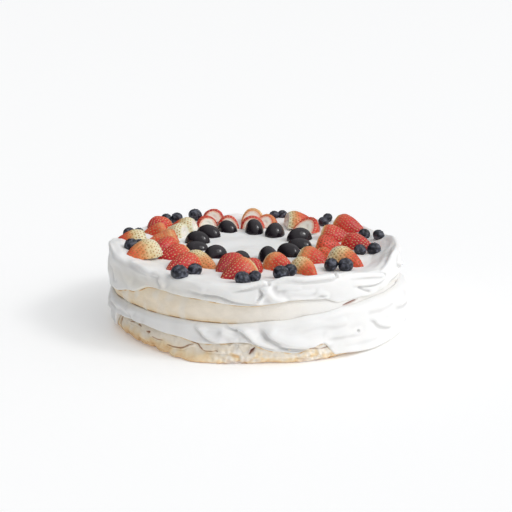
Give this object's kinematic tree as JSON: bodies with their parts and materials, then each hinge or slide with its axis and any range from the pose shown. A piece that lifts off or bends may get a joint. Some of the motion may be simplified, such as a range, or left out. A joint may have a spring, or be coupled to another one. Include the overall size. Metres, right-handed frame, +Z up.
{
  "type": "pavlova",
  "caption": "Round meringue cake with whipped cream between its layers and on top, under a ring of halved strawberries, dark grape halves and blueberries.",
  "frame": {"origin": "centre of the cake's bounding box, on its flat base", "axes": "+Z up, -Y towards the side that shows in front, +X to the right of it"},
  "size_m": [0.2678, 0.2656, 0.0802],
  "materials": {
    "meringue": "dry baked meringue crust, off-white with tan edges and fine cracks",
    "cream": "soft whipped cream, satin, with spatula marks",
    "strawberry": "moist strawberry skin with seeds, pale shoulders and pale cut faces",
    "grape": "near-black grape skin with soft broad highlights",
    "blueberry": "dark blue skin under a grey bloom"
  },
  "bodies": {
    "root": {"lower_meringue": "meringue", "filling_cream": "cream", "upper_meringue": "meringue", "topping_cream": "cream", "grape_01": "grape", "grape_02": "grape", "grape_03": "grape", "grape_04": "grape", "grape_05": "grape", "grape_06": "grape", "grape_07": "grape", "grape_08": "grape", "grape_09": "grape", "grape_10": "grape", "grape_11": "grape", "grape_12": "grape", "strawberry_01": "strawberry", "strawberry_02": "strawberry", "strawberry_03": "strawberry", "strawberry_04": "strawberry", "strawberry_05": "strawberry", "strawberry_06": "strawberry", "strawberry_07": "strawberry", "strawberry_08": "strawberry", "strawberry_09": "strawberry", "strawberry_10": "strawberry", "strawberry_11": "strawberry", "strawberry_12": "strawberry", "strawberry_13": "strawberry", "strawberry_14": "strawberry", "strawberry_15": "strawberry", "strawberry_16": "strawberry", "strawberry_17": "strawberry", "strawberry_18": "strawberry", "strawberry_19": "strawberry", "strawberry_20": "strawberry", "strawberry_21": "strawberry", "strawberry_22": "strawberry", "strawberry_23": "strawberry", "strawberry_24": "strawberry", "strawberry_25": "strawberry", "strawberry_26": "strawberry", "strawberry_27": "strawberry", "strawberry_28": "strawberry", "blueberry_01": "blueberry", "blueberry_02": "blueberry", "blueberry_03": "blueberry", "blueberry_04": "blueberry", "blueberry_05": "blueberry", "blueberry_06": "blueberry", "blueberry_07": "blueberry", "blueberry_08": "blueberry", "blueberry_09": "blueberry", "blueberry_10": "blueberry", "blueberry_11": "blueberry", "blueberry_12": "blueberry", "blueberry_13": "blueberry", "blueberry_14": "blueberry", "blueberry_15": "blueberry", "blueberry_16": "blueberry"}
  },
  "joints": []
}
